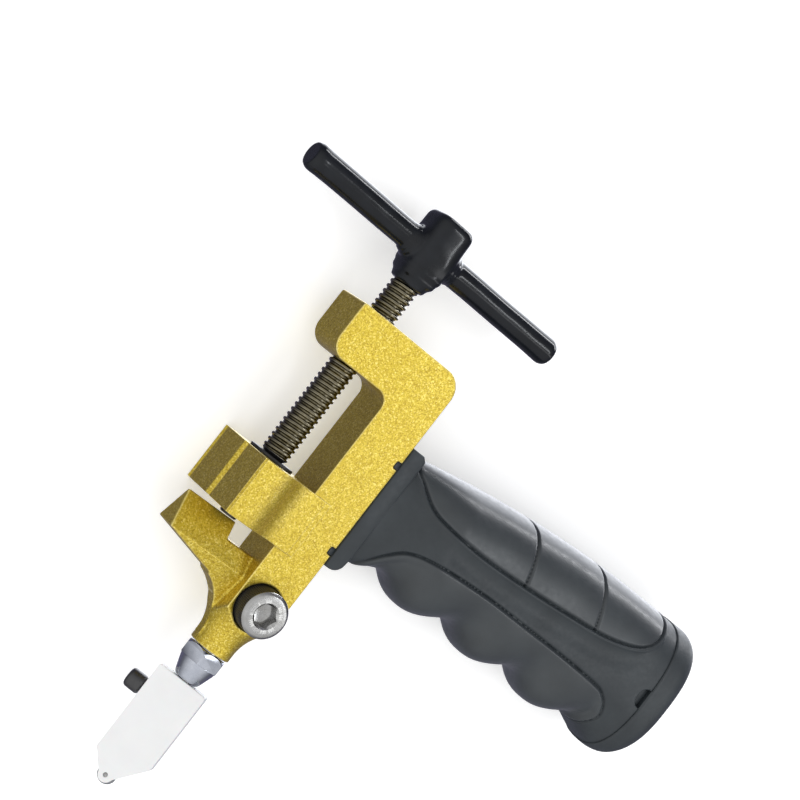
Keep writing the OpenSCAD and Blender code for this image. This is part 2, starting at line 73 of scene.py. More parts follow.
RIDGE_OUT = 3.4 * MM                     # the ridge's tip stands this far in front of the arm
JAW_GAP = 1.6 * MM                       # rest gap between the ridge and the moving jaw
ORIGIN = Vector((
    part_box("frame")[0].x + RIDGE_OUT,
    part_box("moving_jaw")[0].y - JAW_GAP,
    mid("frame").z,
))
SPINDLE_X = mid("thrust_washer").x
BARREL_X = mid("hex_collar").x


def tool(x, y, z=0.0):
    """A point given in millimetres from the arm's front face, the breaking ridge and the mid-plane."""
    return ORIGIN + Vector((x, y, z)) * MM


# ---- camera, lights and floor ----

YAW = math.radians(29.0)                 # how far the camera stands round to the jaws' side
ROLL = math.radians(37.8)                # the tool is held tilted in the picture
DISTANCE = 650 * MM


def look_along(position, target, up):
    """Rotation of a camera at position that looks at target with up as its upper side."""
    back = (position - target).normalized()
    right = up.cross(back).normalized()
    return Matrix((right, back.cross(right), back)).transposed().to_4x4()


def make_camera():
    back = Vector((-math.sin(YAW), 0, math.cos(YAW)))
    across = Vector((math.cos(YAW), 0, math.sin(YAW)))
    up = -math.sin(ROLL) * across + math.cos(ROLL) * Vector((0, 1, 0))
    camera = bpy.data.objects.new("camera", bpy.data.cameras.new("camera"))
    bpy.context.scene.collection.objects.link(camera)
    position = tool(29.2, 31.8) + back * DISTANCE
    target = tool(29.2, 50.9)
    camera.matrix_world = Matrix.Translation(position) @ look_along(position, target, up)
    camera.data.lens = 3.122 * camera.data.sensor_width
    camera.data.clip_start = 0.01
    bpy.context.scene.camera = camera


def softbox(name, direction, distance, size, power, color):
    lamp = bpy.data.lights.new(name, "AREA")
    lamp.shape = "RECTANGLE"
    lamp.size, lamp.size_y = size
    lamp.energy = power
    lamp.color = color
    obj = bpy.data.objects.new(name, lamp)
    bpy.context.scene.collection.objects.link(obj)
    centre = object_centre()
    position = centre + Vector(direction).normalized() * distance
    up = Vector((0, 0, 1)) if abs(Vector(direction).normalized().z) < 0.9 else Vector((0, 1, 0))
    obj.matrix_world = Matrix.Translation(position) @ look_along(position, centre, up)


def object_centre():
    low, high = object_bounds()
    return (Vector(low) + Vector(high)) / 2


def add_card(tree, direction, surround):
    """Adds a pale card low behind the tool to the surround, for light lines on upper edges."""
    card = tree.nodes.new("ShaderNodeVectorMath")
    card.operation = "DOT_PRODUCT"
    card.inputs[1].default_value = Vector((0.50, 0.58, -0.64)).normalized()
    patch = tree.nodes.new("ShaderNodeMapRange")
    patch.interpolation_type = "SMOOTHSTEP"
    patch.inputs["From Min"].default_value = 0.78
    patch.inputs["From Max"].default_value = 0.97
    patch.inputs["To Max"].default_value = 2.6
    add = tree.nodes.new("ShaderNodeMix")
    add.data_type = "RGBA"
    add.blend_type = "ADD"
    add.clamp_factor = False
    add.inputs[7].default_value = (0.93, 0.96, 1.0, 1)
    tree.links.new(direction, card.inputs[0])
    tree.links.new(card.outputs["Value"], patch.inputs["Value"])
    tree.links.new(patch.outputs["Result"], add.inputs[0])
    tree.links.new(surround, add.inputs[6])
    return add.outputs[2]


def make_world():
    """Studio surround: bright above, dim low down, with one low card."""
    world = bpy.data.worlds.new("studio")
    bpy.context.scene.world = world
    world.use_nodes = True
    tree = world.node_tree
    tree.nodes.clear()
    coord = tree.nodes.new("ShaderNodeTexCoord")
    dot = tree.nodes.new("ShaderNodeVectorMath")
    dot.operation = "DOT_PRODUCT"
    dot.inputs[1].default_value = Vector((-0.35, -0.35, 0.87)).normalized()
    ramp = tree.nodes.new("ShaderNodeValToRGB")
    stops = [(0.0, (0.15, 0.145, 0.22)), (0.28, (0.15, 0.145, 0.20)), (0.47, (0.20, 0.20, 0.22)),
        (0.64, (0.50, 0.50, 0.51)), (0.80, (0.78, 0.78, 0.78)), (1.0, (1.0, 1.0, 1.0))]
    while len(ramp.color_ramp.elements) < len(stops):
        ramp.color_ramp.elements.new(0.5)
    for element, (place, color) in zip(ramp.color_ramp.elements, stops):
        element.position = place
        element.color = (*color, 1)
    remap = tree.nodes.new("ShaderNodeMapRange")
    remap.inputs["From Min"].default_value = -1
    background = tree.nodes.new("ShaderNodeBackground")
    output = tree.nodes.new("ShaderNodeOutputWorld")
    tree.links.new(coord.outputs["Generated"], dot.inputs[0])
    tree.links.new(dot.outputs["Value"], remap.inputs["Value"])
    tree.links.new(remap.outputs["Result"], ramp.inputs["Fac"])
    lit = add_card(tree, coord.outputs["Generated"], ramp.outputs["Color"])
    tree.links.new(lit, background.inputs["Color"])
    background.inputs["Strength"].default_value = 1.3
    tree.links.new(background.outputs["Background"], output.inputs["Surface"])


def make_floor():
    bpy.ops.mesh.primitive_plane_add(size=6, location=(0, 0, -0.0002))
    floor = bpy.context.object
    floor.name = "floor"
    mat = bpy.data.materials.new("floor")
    mat.use_nodes = True
    shader = mat.node_tree.nodes["Principled BSDF"]
    shader.inputs["Base Color"].default_value = (0.95, 0.95, 0.95, 1)
    shader.inputs["Roughness"].default_value = 0.9
    shader.inputs["Specular IOR Level"].default_value = 0.1
    shader.inputs["Emission Color"].default_value = (1, 1, 1, 1)
    shader.inputs["Emission Strength"].default_value = 0.30
    floor.data.materials.append(mat)
    floor.visible_glossy = False         # metal mirrors the studio, and not the table
    floor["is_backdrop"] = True


bpy.context.scene.view_settings.view_transform = "Standard"
make_camera()
make_world()
make_floor()
softbox("streak", (0.485, 0.27, 0.83), 1.0, (0.36, 0.045), 0.95, (0.94, 0.97, 1.0))
softbox("side", (0.76, 0.0, 0.65), 1.0, (0.10, 0.9), 0.9, (0.98, 0.99, 1.0))
softbox("rim", (0.47, 0.87, -0.02), 0.9, (0.9, 0.10), 5.5, (0.97, 0.98, 1.0))

# ---- materials ----


class Paint:
    """A Principled material and short ways to add procedural detail to it."""

    def __init__(self, name, color, roughness, metallic=0.0):
        self.mat = bpy.data.materials.new(name)
        self.mat.use_nodes = True
        self.tree = self.mat.node_tree
        self.shader = self.tree.nodes["Principled BSDF"]
        self.shader.inputs["Base Color"].default_value = (*color, 1)
        self.shader.inputs["Roughness"].default_value = roughness
        self.shader.inputs["Metallic"].default_value = metallic
        self.coord = self.node("ShaderNodeTexCoord").outputs["Object"]
        self.height = None

    def node(self, kind, **settings):
        made = self.tree.nodes.new(kind)
        for key, value in settings.items():
            setattr(made, key, value)
        return made

    def link(self, out, inp):
        self.tree.links.new(out, inp)

    def set(self, **values):
        """Sets the shader's own sockets."""
        for key, value in values.items():
            self.shader.inputs[key.replace("_", " ")].default_value = value
        return self

    def noise(self, size, detail=3.0, rough=0.55, stretch=(1, 1, 1)):
        """Noise whose features are about size millimetres across."""
        mapping = self.node("ShaderNodeMapping")
        mapping.inputs["Scale"].default_value = stretch
        made = self.node("ShaderNodeTexNoise")
        made.inputs["Scale"].default_value = 1 / (size * MM)
        made.inputs["Detail"].default_value = detail
        made.inputs["Roughness"].default_value = rough
        self.link(self.coord, mapping.inputs["Vector"])
        self.link(mapping.outputs["Vector"], made.inputs["Vector"])
        return made.outputs["Fac"]

    def flakes(self, size):
        """Cells about size millimetres across; each has one random grey."""
        made = self.node("ShaderNodeTexVoronoi")
        made.inputs["Scale"].default_value = 1 / (size * MM)
        self.link(self.coord, made.inputs["Vector"])
        split = self.node("ShaderNodeSeparateColor")
        self.link(made.outputs["Color"], split.inputs["Color"])
        return split.outputs["Red"]

    def ramp(self, fac, stops):
        """Colour ramp with (place, colour) stops."""
        made = self.node("ShaderNodeValToRGB")
        while len(made.color_ramp.elements) < len(stops):
            made.color_ramp.elements.new(0.5)
        for element, (place, color) in zip(made.color_ramp.elements, stops):
            element.position = place
            element.color = (*color, 1)
        self.link(fac, made.inputs["Fac"])
        return made.outputs["Color"]

    def mix(self, fac, a, b, kind="MIX"):
        """Mixes two colours; fac is a socket or a number."""
        made = self.node("ShaderNodeMix", data_type="RGBA", blend_type=kind)
        for socket, value in ((made.inputs[0], fac), (made.inputs[6], a), (made.inputs[7], b)):
            if isinstance(value, bpy.types.NodeSocket):
                self.link(value, socket)
            else:
                socket.default_value = value if isinstance(value, (int, float)) else (*value, 1)
        return made.outputs[2]

    def span(self, fac, low, high):
        """Maps 0.25..0.75 of a noise onto low..high."""
        made = self.node("ShaderNodeMapRange")
        made.inputs["From Min"].default_value = 0.25
        made.inputs["From Max"].default_value = 0.75
        made.inputs["To Min"].default_value = low
        made.inputs["To Max"].default_value = high
        self.link(fac, made.inputs["Value"])
        return made.outputs["Result"]

    def color(self, socket):
        self.link(socket, self.shader.inputs["Base Color"])
        return self

    def rough(self, fac, low, high):
        self.link(self.span(fac, low, high), self.shader.inputs["Roughness"])
        return self

    def bump(self, height, depth, strength=1.0):
        """Adds a bump layer depth millimetres high on top of the earlier ones."""
        made = self.node("ShaderNodeBump")
        made.inputs["Strength"].default_value = strength
        made.inputs["Distance"].default_value = depth * MM
        self.link(height, made.inputs["Height"])
        if self.height is not None:
            self.link(self.height, made.inputs["Normal"])
        self.height = made.outputs["Normal"]
        self.link(self.height, self.shader.inputs["Normal"])
        return self

    def edge_wear_and_light(self, color, amount, low=0.52, high=0.60):
        """Mixes another colour in on convex edges: wear on some finishes, painted edge light and shade on
        others.
        """
        edge = self.node("ShaderNodeNewGeometry").outputs["Pointiness"]
        mask = self.node("ShaderNodeMapRange")
        mask.inputs["From Min"].default_value = low
        mask.inputs["From Max"].default_value = high
        mask.inputs["To Max"].default_value = amount
        self.link(edge, mask.inputs["Value"])
        return self.mix(mask.outputs["Result"], self.base, color)

    def base_color(self, socket):
        self.base = socket
        return self.color(socket)


def gold_paint():
    """Metallic powder coat: gold with a fine grain of lighter and darker flakes."""
    p = Paint("gold_paint", (0.62, 0.44, 0.03), 0.42, metallic=0.9)
    p.set(Coat_Weight=0.35, Coat_Roughness=0.22)
    cell = p.flakes(0.36)
    fine = p.flakes(0.22)
    grain = p.ramp(cell, [(0.0, (0.30, 0.19, 0.010)), (0.28, (0.46, 0.325, 0.018)),
        (0.62, (0.60, 0.445, 0.036)), (0.86, (0.74, 0.58, 0.08)), (1.0, (0.96, 0.83, 0.26))])
    spark = p.ramp(fine, [(0.0, (0.36, 0.24, 0.012)), (0.6, (0.60, 0.445, 0.036)),
        (1.0, (0.86, 0.72, 0.16))])
    both = p.mix(0.42, grain, spark)
    cloud = p.mix(p.span(p.noise(14), 0.0, 0.22), both, (0.50, 0.355, 0.02))
    p.base_color(cloud)
    # paler gold on the convex edges is a painted highlight along the casting's edges
    p.color(p.edge_wear_and_light((0.98, 0.86, 0.36), 0.75, 0.515, 0.57))
    p.rough(p.noise(0.5, 2.0), 0.36, 0.52)
    p.bump(p.noise(0.38, 2.0), 0.05, 0.6)
    p.bump(cell, 0.02, 0.5)
    p.bump(p.noise(2.4, 2.0), 0.04, 0.3)
    return p.mat


def spindle_steel():
    """Rolled thread: dark steel whose paler crests are a painted highlight."""
    p = Paint("spindle_steel", (0.34, 0.31, 0.24), 0.24, metallic=1.0)
    tint = p.ramp(p.noise(1.6), [(0.3, (0.07, 0.06, 0.035)), (0.55, (0.12, 0.105, 0.065)),
        (0.8, (0.20, 0.18, 0.12))])
    p.base_color(tint)
    # paler crests: painted highlight on the thread's crests, so the roots beside them read darker as
    # painted shade
    p.color(p.edge_wear_and_light((0.66, 0.62, 0.50), 0.55, 0.51, 0.58))
    p.rough(p.noise(0.7), 0.18, 0.32)
    p.bump(p.noise(0.25, 2.0, stretch=(1, 0.25, 1)), 0.012, 0.6)
    return p.mat


def bright_steel(name="bright_steel", level=0.62, rough=0.24):
    p = Paint(name, (level, level, level), rough, metallic=1.0)
    dull = (level * 0.84, level * 0.83, level * 0.80)
    tint = p.ramp(p.noise(2.2), [(0.3, dull), (0.7, (level, level, level))])
    p.base_color(tint)
    p.color(p.edge_wear_and_light((0.86, 0.86, 0.84), 0.4))
    p.rough(p.noise(0.6), rough - 0.06, rough + 0.10)
    p.bump(p.noise(0.18, 2.0, stretch=(1, 1, 0.2)), 0.008, 0.6)
    return p.mat


def black_steel():
    p = Paint("black_steel", (0.022, 0.022, 0.024), 0.38, metallic=0.4)
    p.base_color(p.ramp(p.noise(1.5), [(0.3, (0.014, 0.014, 0.016)), (0.75, (0.034, 0.034, 0.036))]))
    p.color(p.edge_wear_and_light((0.20, 0.19, 0.18), 0.35))
    p.rough(p.noise(0.8), 0.30, 0.48)
    p.bump(p.noise(0.3), 0.012, 0.6)
    return p.mat


def black_vinyl():
    """Dipped vinyl: near black, glossy and slightly wavy."""
    p = Paint("black_vinyl", (0.006, 0.007, 0.010), 0.20)
    p.set(Specular_IOR_Level=0.24)
    p.base_color(p.ramp(p.noise(6), [(0.3, (0.004, 0.005, 0.007)), (0.8, (0.009, 0.011, 0.015))]))
    p.rough(p.noise(3), 0.12, 0.20)
    p.bump(p.noise(7.0, 1.0), 0.06, 0.3)
    return p.mat


def chrome():
    p = Paint("chrome", (0.40, 0.42, 0.47), 0.12, metallic=1.0)
    p.base_color(p.ramp(p.noise(3), [(0.3, (0.34, 0.36, 0.41)), (0.7, (0.44, 0.46, 0.51))]))
    p.rough(p.noise(1.5), 0.10, 0.16)
    p.bump(p.noise(2.5, 1.0), 0.004, 0.4)
    return p.mat


def white_shell():
    """Smooth white moulded head, greyer on its edges as painted shade."""
    p = Paint("white_shell", (0.80, 0.80, 0.795), 0.36)
    p.set(Subsurface_Weight=0.06, Subsurface_Scale=0.001, IOR=1.49)
    p.base_color(p.ramp(p.noise(7), [(0.3, (0.78, 0.785, 0.785)), (0.75, (0.81, 0.815, 0.815))]))
    # greyer edges: painted shade along the head's edges
    p.color(p.edge_wear_and_light((0.52, 0.52, 0.51), 0.6, 0.52, 0.58))
    p.rough(p.noise(1.5), 0.30, 0.44)
    p.bump(p.noise(0.5, 2.0), 0.008, 0.5)
    return p.mat


def black_satin():
    p = Paint("black_satin", (0.014, 0.014, 0.015), 0.30)
    p.set(Coat_Weight=0.3, Coat_Roughness=0.15)
    p.base_color(p.ramp(p.noise(2), [(0.3, (0.010, 0.010, 0.011)), (0.8, (0.024, 0.024, 0.026))]))
    p.rough(p.noise(0.8), 0.24, 0.40)
    p.bump(p.noise(0.35), 0.012, 0.5)
    return p.mat


def carbide():
    p = Paint("carbide", (0.34, 0.35, 0.37), 0.28, metallic=1.0)
    p.base_color(p.ramp(p.noise(0.5), [(0.3, (0.26, 0.27, 0.29)), (0.75, (0.40, 0.41, 0.43))]))
    p.rough(p.noise(0.3), 0.20, 0.36)
    p.bump(p.noise(0.12, 2.0), 0.004, 0.6)
    return p.mat


def grip_shell():
    """Hard grip plastic: dark slate with a fine spark-eroded moulding texture."""
    p = Paint("grip_shell", (0.030, 0.037, 0.042), 0.46)
    p.set(Specular_IOR_Level=0.42)
    p.base_color(p.ramp(p.noise(9), [(0.3, (0.017, 0.022, 0.026)), (0.75, (0.027, 0.034, 0.039))]))
    p.rough(p.noise(1.1), 0.40, 0.54)
    p.bump(p.noise(0.22, 2.0), 0.014, 0.65)
    p.bump(p.noise(4.0, 1.0), 0.03, 0.25)
    return p.mat


def grip_soft():
    """Soft overmould: a little greyer and silkier than the shell."""
    p = Paint("grip_soft", (0.032, 0.040, 0.044), 0.40)
    p.set(Specular_IOR_Level=0.56, Sheen_Weight=0.06, Sheen_Roughness=0.5)
    p.base_color(p.ramp(p.noise(11), [(0.3, (0.018, 0.023, 0.027)), (0.75, (0.028, 0.035, 0.040))]))
    p.rough(p.noise(1.6), 0.30, 0.42)
    p.bump(p.noise(0.30, 2.0), 0.010, 0.5)
    p.bump(p.noise(5.0, 1.0), 0.05, 0.25)
    return p.mat


MAT = {
    "gold_casting": gold_paint(),
    "steel_spindle": spindle_steel(),
    "screw_steel": bright_steel("screw_steel", 0.36, 0.24),
    "inner_steel": bright_steel("inner_steel", 0.30, 0.34),
    "black_steel": black_steel(),
    "black_vinyl": black_vinyl(),
    "chrome_collar": chrome(),
    "white_head": white_shell(),
    "carbide": carbide(),
    "black_knob": black_satin(),
    "grip_plastic": grip_shell(),
    "grip_soft": grip_soft(),
}

# ---- mesh tools ----


def new_object(name, points, faces):
    mesh = bpy.data.meshes.new(name)
    mesh.from_pydata([tuple(p) for p in points], [], [tuple(f) for f in faces])
    mesh.validate()
    obj = bpy.data.objects.new(name, mesh)
    bpy.context.scene.collection.objects.link(obj)
    return obj


def welded_copy(node):
    """A copy of a CAD node with the vertices of its faces joined again."""
    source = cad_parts[node]
    obj = bpy.data.objects.new(node + "_copy", source.data.copy())
    obj.data.materials.clear()
    bpy.context.scene.collection.objects.link(obj)
    if obj.data.has_custom_normals:
        with bpy.context.temp_override(object=obj, active_object=obj, selected_objects=[obj]):
            bpy.ops.mesh.customdata_custom_splitnormals_clear()
    work = bmesh.new()
    work.from_mesh(obj.data)
    bmesh.ops.remove_doubles(work, verts=work.verts, dist=1e-6)
    bmesh.ops.recalc_face_normals(work, faces=work.faces)
    work.to_mesh(obj.data)
    work.free()
    return obj


def baked(obj):
    """Replaces an object's mesh with the result of its modifiers."""
    depsgraph = bpy.context.evaluated_depsgraph_get()
    mesh = bpy.data.meshes.new_from_object(obj.evaluated_get(depsgraph))
    obj.modifiers.clear()
    obj.data = mesh
    return obj


def joined(name, parts):
    """One object from several closed ones; the parts are removed."""
    work = bmesh.new()
    for part in parts:
        work.from_mesh(part.data)
        bpy.data.objects.remove(part)
    mesh = bpy.data.meshes.new(name)
    work.to_mesh(mesh)
    work.free()
    obj = bpy.data.objects.new(name, mesh)
    bpy.context.scene.collection.objects.link(obj)
    return obj


def melted(obj, voxel, rounds):
    """Joins overlapping solids into one skin and rounds its edges, as a casting or a dipped coat has."""
    remesh = obj.modifiers.new("remesh", "REMESH")
    remesh.mode = "VOXEL"
    remesh.voxel_size = voxel * MM
    smooth = obj.modifiers.new("smooth", "SMOOTH")
    smooth.factor = 0.5
    smooth.iterations = rounds
    return baked(obj)


def shade_smooth(obj, angle=None):
    for polygon in obj.data.polygons:
        polygon.use_smooth = True
    if angle is not None:
        obj.data.set_sharp_from_angle(angle=math.radians(angle))
    return obj


def bevelled(obj, width, segments=3, angle=35):
    bevel = obj.modifiers.new("bevel", "BEVEL")
    bevel.width = width * MM
    bevel.segments = segments
    bevel.limit_method = "ANGLE"
    bevel.angle_limit = math.radians(angle)
    bevel.harden_normals = True
    return baked(obj)


def finish_piece(obj, name, body, material, nodes=()):
    """Names a piece, gives it its finish and its body, and hides the CAD nodes that it stands for."""
    obj.name = name
    obj.data.name = name
    if not obj.data.materials:
        obj.data.materials.append(MAT[material])
    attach(obj, body)
    if nodes:
        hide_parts(*nodes)
    return obj


def fillet(profile, radius, steps=4):
    """Rounds the inner corners of an open (r, h) profile."""
    made = [profile[0]]
    for before, here, after in zip(profile, profile[1:], profile[2:]):
        a, b, c = (Vector((*p, 0)).to_2d() for p in (before, here, after))
        reach = min(radius, (a - b).length * 0.45, (c - b).length * 0.45)
        start, end = b + (a - b).normalized() * reach, b + (c - b).normalized() * reach
        for i in range(steps + 1):
            t = i / steps
            point = start * (1 - t) ** 2 + b * (2 * t * (1 - t)) + end * t * t
            made.append((point.x, point.y))
    made.append(profile[-1])
    return made


def lathe(name, profile, origin, axis, around=96):
    """Turns an (r, h) profile in millimetres about an axis through origin; r = 0 closes an end."""
    turn = Vector((0, 0, 1)).rotation_difference(Vector(axis).normalized()).to_matrix()
    points, rings = [], []
    for r, h in profile:
        if r < 1e-6:
            rings.append([len(points)])
            points.append(origin + turn @ Vector((0, 0, h)) * MM)
            continue
        rings.append(list(range(len(points), len(points) + around)))
        for i in range(around):
            a = 2 * math.pi * i / around
            points.append(origin + turn @ Vector((r * math.cos(a), r * math.sin(a), h)) * MM)
    faces = []
    for low, high in zip(rings, rings[1:]):
        for i in range(around):
            j = (i + 1) % around
            quad = [low[i % len(low)], low[j % len(low)], high[j % len(high)], high[i % len(high)]]
            faces.append(list(dict.fromkeys(quad)))
    return new_object(name, points, faces)


def prism(name, corners, length, origin, axis, turn=0.0):
    """A regular prism whose circumradius is corners[1] and number of sides corners[0]."""
    sides, radius = corners
    profile = [(0, 0), (radius, 0), (radius, length), (0, length)]
    obj = lathe(name, profile, Vector((0, 0, 0)), (0, 0, 1), around=sides)
    spin = Vector((0, 0, 1)).rotation_difference(Vector(axis).normalized()).to_matrix().to_4x4()
    obj.data.transform(Matrix.Translation(origin) @ spin @ Matrix.Rotation(turn, 4, "Z"))
    return obj


def carved(obj, cutter, operation="DIFFERENCE"):
    modifier = obj.modifiers.new("carve", "BOOLEAN")
    modifier.operation = operation
    modifier.solver = "EXACT"
    modifier.object = cutter
    baked(obj)
    bpy.data.objects.remove(cutter)
    return obj


# ---- castings ----


def make_casting(node, body, voxel, rounds):
    obj = melted(welded_copy(node), voxel, rounds)
    return finish_piece(shade_smooth(obj), node + "_casting", body, "gold_casting", [node])


make_casting("frame", "frame", 0.26, 2)
make_casting("moving_jaw", "jaw", 0.20, 2)

# ---- spindle ----

PITCH = 1.6
THREAD_DEPTH = 0.52


def thread_height(turns):
    """Height of the thread, 0 at the root and 1 at the crest, at a place along one turn."""
    u = abs((turns % 1.0) - 0.5) * 2
    return min(1.0, max(0.0, (0.86 - u) / 0.62))


def spindle_outline(radius, washer_top, top):
    """Heights and radii of the spindle before threading: thin spigot, chamfer, full rod."""
    spigot = 2.5
    heights = [0.0, 0.0, 0.3, washer_top - 0.05, washer_top]
    radii = [0.0, spigot - 0.3, spigot, spigot, radius - 1.1]
    step = PITCH / 14
    rows = int((top - washer_top) / step)
    for i in range(rows + 1):
        h = washer_top + 0.05 + i * step
        heights.append(min(h, top))
        radii.append(radius - max(0.0, 1.0 - (h - washer_top)))
    heights.append(top)
    radii.append(0.0)
    return heights, radii


def make_spindle():
    low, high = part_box("spindle")
    radius = (high.x - low.x) / 2 / MM
    washer_top = (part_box("thrust_washer")[1].y - low.y) / MM
    heights, radii = spindle_outline(radius, washer_top, (high.y - low.y) / MM)
    axis_foot = Vector((SPINDLE_X, low.y, ORIGIN.z))
    around = 72
    angle = 2 * np.pi * np.arange(around) / around
    points = []
    for h, r in zip(heights, radii):
        for a in angle:
            deep = 0.0
            if h > washer_top and 0 < r:
                crest = thread_height(h / PITCH - a / (2 * math.pi))
                run_in = min(1.0, (h - washer_top) / 1.6)
                deep = THREAD_DEPTH * (1 - crest * crest * (3 - 2 * crest)) * run_in
            rr = max(0.0, min(r, radius - deep))
            points.append(axis_foot + Vector((rr * math.cos(a), h, -rr * math.sin(a))) * MM)
    faces = []
    for i in range(len(heights) - 1):
        for j in range(around):
            k = (j + 1) % around
            faces.append((i * around + j, i * around + k, (i + 1) * around + k, (i + 1) * around + j))
    obj = new_object("spindle_thread", points, faces)
    work = bmesh.new()
    work.from_mesh(obj.data)
    bmesh.ops.remove_doubles(work, verts=work.verts, dist=1e-7)
    work.to_mesh(obj.data)
    work.free()
    obj.data.materials.append(MAT["steel_spindle"])
    obj.data.materials.append(MAT["black_steel"])
    for polygon in obj.data.polygons:
        if polygon.center.y < low.y + (washer_top + 1.0) * MM:
            polygon.material_index = 1
    return finish_piece(shade_smooth(obj), "spindle_thread", "spindle", "steel_spindle", ["spindle"])


make_spindle()


def make_thrust_washer():
    low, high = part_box("thrust_washer")
    outer = (high.x - low.x) / 2 / MM
    thick = (high.y - low.y) / MM
    bore = 2.55
    profile = fillet([(4.0, 0.0), (outer, 0.0), (outer, thick), (bore, thick), (bore, 0.0),
        (4.0, 0.0)], 0.22)
    obj = lathe("washer", profile, Vector((SPINDLE_X, low.y, ORIGIN.z)), (0, 1, 0))
    shade_smooth(obj, 40)
    return finish_piece(obj, "thrust_washer_ring", "jaw", "black_steel", ["thrust_washer"])


make_thrust_washer()

# ---- T-handle ----


def swept_bar(name, stations, centre, axis):
    """A closed lathe along axis; stations are (h, r) in millimetres."""
    profile = [(0, stations[0][0])] + [(r, h) for h, r in stations] + [(0, stations[-1][0])]
    return lathe(name, profile, centre, axis, around=64)


def coat_rings(height, bar_h):
    """Heights and half widths of the hub, from its narrow foot to its low dome."""
    half = 6.0
    rings = []
    for i in range(41):
        h = height * i / 40
        w = half
        if h < 5.4:
            w = half - 1.35 * (1 - h / 5.4) ** 1.3
            w += 0.16 * math.sin(h * 2.9)
        w += 0.32 * math.exp(-((h - bar_h) / 4.2) ** 2)
        crown = max(0.0, h - (height - 2.6)) / 2.6
        w *= math.sqrt(max(0.0, 1 - (crown * 0.66) ** 2.6))
        rings.append((h, w))
    return rings


def coat_hub(foot, rings):
    """Rounded square hub through the rings, closed at both ends."""
    points = []
    around = 72
    for h, w in rings:
        for j in range(around):
            a = 2 * math.pi * j / around
            c, s = math.cos(a), math.sin(a)
            power = 0.50 if h > 3 else 0.50 + 0.5 * (1 - h / 3)
            x = math.copysign(abs(c) ** power, c) * w
            z = math.copysign(abs(s) ** power, s) * w
            points.append(foot + Vector((x, h, -z)) * MM)
    faces = [list(range(around))[::-1], [len(points) - around + j for j in range(around)]]
    for i in range(len(rings) - 1):
        for j in range(around):
            k = (j + 1) % around
            faces.append((i * around + j, i * around + k, (i + 1) * around + k, (i + 1) * around + j))
    return new_object("hub", points, faces)


def coat_arms(middle, length, arm):
    """One bar through the hub that swells slightly towards its ends."""
    stations = []
    for i in range(61):
        t = -1 + 2 * i / 60
        h = t * length / 2
        r = arm - 0.10 + 0.12 * abs(t) ** 3 + (0.10 if t < -0.9 else 0.0)
        edge = max(0.0, abs(h) - (length / 2 - 1.4)) / 1.4
        r *= 1 - 0.16 * edge ** 2
        stations.append((h, r))
    return swept_bar("arms", stations, middle, (1, 0, 0))


def coat_folds(bar_y, arm):
    """Folds of vinyl where the arms leave the hub."""
    parts = []
    for side in (-1, 1):
        for offset, grow, long in ((6.2, 1.15, 1.3), (7.6, 0.55, 0.9)):
            fold = []
            for i in range(13):
                t = -1 + i / 6
                fold.append((t * long, arm - 0.6 + (grow + 0.5) * math.sqrt(max(0.0, 1 - t * t))))
            place = Vector((SPINDLE_X + side * offset * MM, bar_y + side * 0.15 * MM, ORIGIN.z))
            parts.append(swept_bar("fold", fold, place, (1, 0.10 * side, 0.04)))
    return parts


def coat_wrinkles(foot):
    """Two wrinkles round the hub's foot."""
    parts = []
    for h, r in ((1.2, 4.95), (3.1, 5.35)):
        ring = []
        for i in range(11):
            bulge = math.sqrt(max(0.0, 1 - (i / 5 - 1) ** 2))
            ring.append((-0.7 + 1.4 * i / 10, r - 0.5 + 0.55 * bulge))
        place = Vector((foot.x, foot.y + h * MM, foot.z))
        parts.append(swept_bar("wrinkle", ring, place, (0.05, 1, 0.04)))
    return parts


def make_handle_coat():
    low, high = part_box("handle_coat")
    bar = mid("cross_bar")
    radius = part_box("cross_bar")[1].z - bar.z
    middle = Vector((bar.x, bar.y, ORIGIN.z))
    arm = radius / MM + 1.2
    length = (high.x - low.x) / MM
    height = (high.y - low.y) / MM
    bar_h = (bar.y - low.y) / MM
    foot = Vector((SPINDLE_X, low.y, ORIGIN.z))
    parts = [coat_hub(foot, coat_rings(height, bar_h)), coat_arms(middle, length, arm)]
    parts += coat_folds(bar.y, arm)
    parts += coat_wrinkles(foot)
    obj = melted(joined("coat", parts), 0.30, 12)
    wave = bpy.data.textures.new("coat_wave", "CLOUDS")
    wave.noise_scale = 11 * MM
    wave.noise_depth = 0
    push = obj.modifiers.new("wave", "DISPLACE")
    push.texture = wave
    push.texture_coords = "GLOBAL"
    push.strength = 0.22 * MM
    push.mid_level = 0.6
    baked(obj)
    place = np.array([v.co for v in obj.data.vertices])
    place[:, 0] = np.clip(place[:, 0], low.x, high.x)
    place[:, 1] = np.clip(place[:, 1], low.y, high.y)
    obj.data.vertices.foreach_set("co", place.ravel())
    obj.data.update()
    return finish_piece(shade_smooth(obj), "handle_vinyl_coat", "spindle", "black_vinyl", ["handle_coat"])


make_handle_coat()

# ---- clamp screw ----


KNURL_LINES = 144


def knurl(obj, centre, radius):
    """Straight knurling: every other line of points on the head's side is pressed in."""
    for vertex in obj.data.vertices:
        dx, dy = vertex.co.x - centre.x, vertex.co.y - centre.y
        tooth = round(math.atan2(dy, dx) / (2 * math.pi / KNURL_LINES))
        if math.hypot(dx, dy) > (radius - 0.05) * MM and tooth % 2:
            vertex.co.x = centre.x + dx * 0.97
            vertex.co.y = centre.y + dy * 0.97


